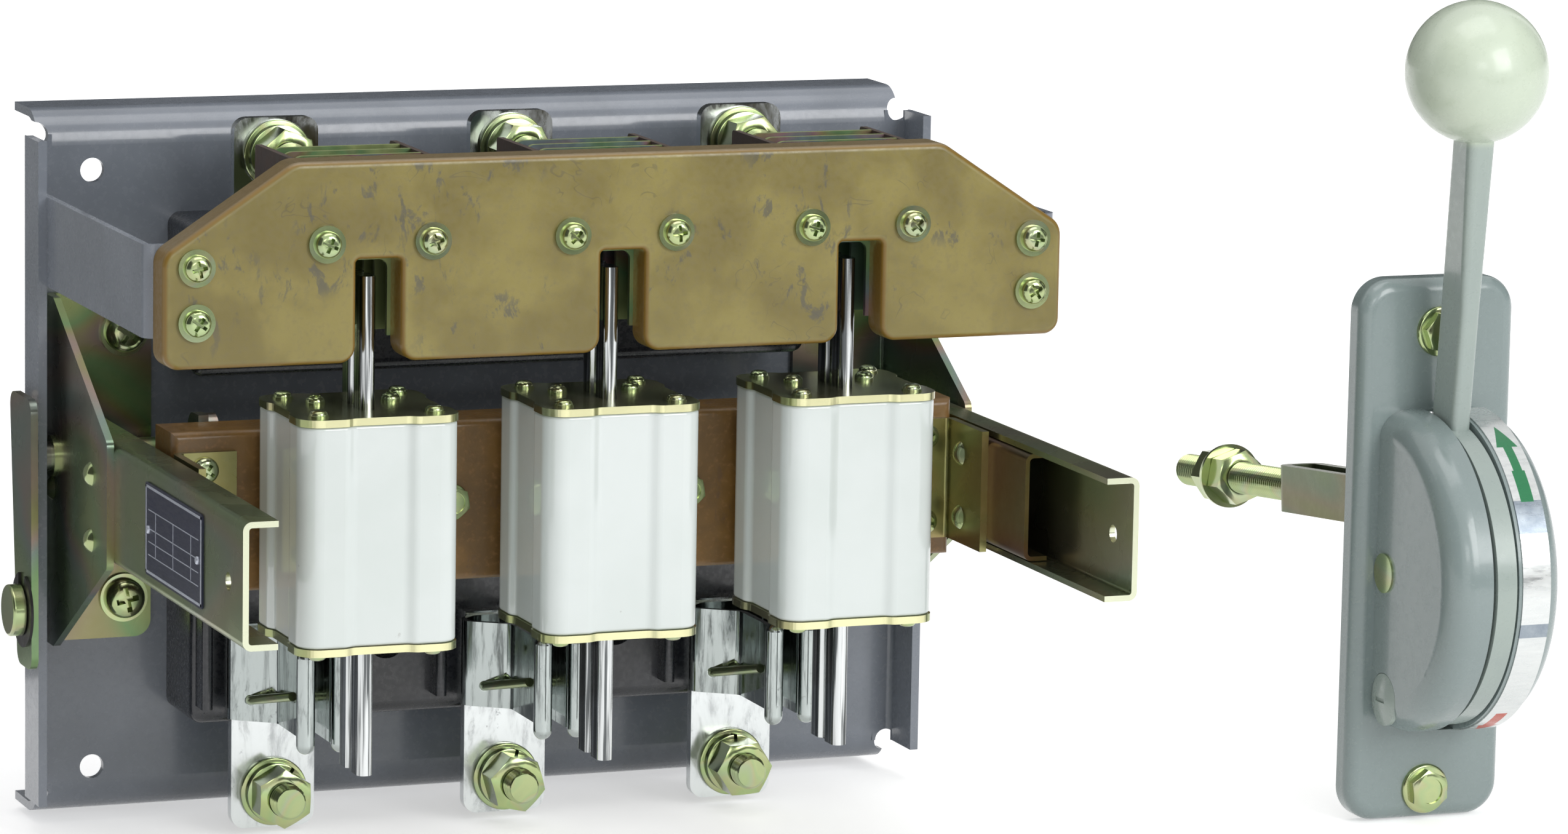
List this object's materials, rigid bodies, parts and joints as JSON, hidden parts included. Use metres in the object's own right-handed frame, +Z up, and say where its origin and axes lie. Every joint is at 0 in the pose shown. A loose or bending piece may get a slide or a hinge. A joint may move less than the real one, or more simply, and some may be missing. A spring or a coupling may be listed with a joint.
{
  "type": "fuse switch disconnector",
  "caption": "Open fuse switch with upright porcelain knife fuses on a sliding beam between two channel arms, and its lever handle on a separate housing.",
  "frame": {"origin": "centre of the four mounting holes, on the back face of the base sheet", "axes": "+Z up, -Y is the front, +X to the right seen from the front"},
  "size_m": [0.5181, 0.3007, 0.2952],
  "materials": {
    "blue_grey_paint": "gloss",
    "zinc_chromate": "satin",
    "dark_spring_steel": "satin",
    "nameplate_sheet": "satin",
    "phenolic_board": "satin",
    "phenolic_beam": "satin",
    "fibre_board": "satin",
    "black_moulding": "gloss",
    "tinned_copper": "satin",
    "porcelain": "gloss",
    "grey_enamel": "gloss",
    "bare_aluminium": "satin",
    "white_plastic": "gloss"
  },
  "bodies": {
    "unit": {"base_plate": "blue_grey_paint", "left_side_bracket": "zinc_chromate", "right_side_bracket": "zinc_chromate", "left_channel_arm": "zinc_chromate", "right_channel_arm": "zinc_chromate", "left_front_bracket": "blue_grey_paint", "right_front_bracket": "blue_grey_paint", "arm_rivets": "zinc_chromate", "bracket_screws": "zinc_chromate", "bracket_washers": "zinc_chromate", "nameplate": "nameplate_sheet", "front_barrier": "phenolic_board", "barrier_screws": "zinc_chromate", "barrier_washers": "zinc_chromate", "shaft_bushes": "zinc_chromate", "chute_side_boards": "fibre_board", "splitter_plates": "zinc_chromate", "upper_insulator": "black_moulding", "lower_insulator": "black_moulding", "upper_terminals": "tinned_copper", "lower_terminals": "tinned_copper", "upper_jaws": "tinned_copper", "lower_jaws": "tinned_copper", "upper_jaw_springs": "zinc_chromate", "lower_jaw_springs": "zinc_chromate", "terminal_bolts": "zinc_chromate", "terminal_nuts": "zinc_chromate", "terminal_washers": "zinc_chromate", "handle_housing": "grey_enamel", "indicator_strip": "bare_aluminium", "handle_bolts": "zinc_chromate", "handle_pivot_pin": "zinc_chromate", "slotted_plug": "white_plastic"},
    "carriage": {"cross_beam": "phenolic_beam", "left_slider": "zinc_chromate", "right_slider": "zinc_chromate", "left_end_bracket": "zinc_chromate", "right_end_bracket": "zinc_chromate", "drive_lugs": "zinc_chromate", "end_bracket_rivets": "zinc_chromate", "fuse_seats": "zinc_chromate", "beam_screws": "zinc_chromate", "fuse_body_1": "porcelain", "fuse_body_2": "porcelain", "fuse_body_3": "porcelain", "fuse_end_plates": "zinc_chromate", "fuse_blades": "tinned_copper", "fuse_rivets": "zinc_chromate"},
    "crank": {"crank_shaft": "zinc_chromate", "crank_arms": "zinc_chromate", "crank_lever": "zinc_chromate", "tail_pin": "zinc_chromate", "retaining_clip": "dark_spring_steel"},
    "links": {"link_bars": "zinc_chromate"},
    "handle": {"operating_lever": "white_plastic", "rod_pin": "zinc_chromate"},
    "rod_end": {"rod_yoke": "zinc_chromate", "threaded_rod": "zinc_chromate", "rod_nuts": "zinc_chromate"}
  },
  "joints": [
    {"name": "carriage_slide", "type": "slide", "parent": "unit", "child": "carriage", "axis": [0, 1, 0], "range_m": [0, 0.053]},
    {"name": "crank_turn", "type": "hinge", "parent": "unit", "child": "crank", "pos_m": [0, -0.0155, 0.008], "axis": [-1, 0, 0], "range_deg": [0, 90]},
    {"name": "link_turn", "type": "hinge", "parent": "carriage", "child": "links", "pos_m": [0, -0.0775, 0.0252], "axis": [1, 0, 0], "range_deg": [0, 111]},
    {"name": "handle_turn", "type": "hinge", "parent": "unit", "child": "handle", "pos_m": [0.3128, -0.1425, -0.0332], "axis": [1, 0, 0], "range_deg": [0, 100]},
    {"name": "rod_turn", "type": "hinge", "parent": "handle", "child": "rod_end", "pos_m": [0.3111, -0.109, -0.0146], "axis": [1, 0, 0], "range_deg": [-100.5, 0]}
  ],
  "couplings": [
    {"joint": "crank_turn", "follows": "carriage_slide", "rad_per_m": 29.63},
    {"joint": "link_turn", "follows": "carriage_slide", "rad_per_m": 36.49},
    {"joint": "rod_turn", "follows": "handle_turn", "ratio": -1}
  ]
}
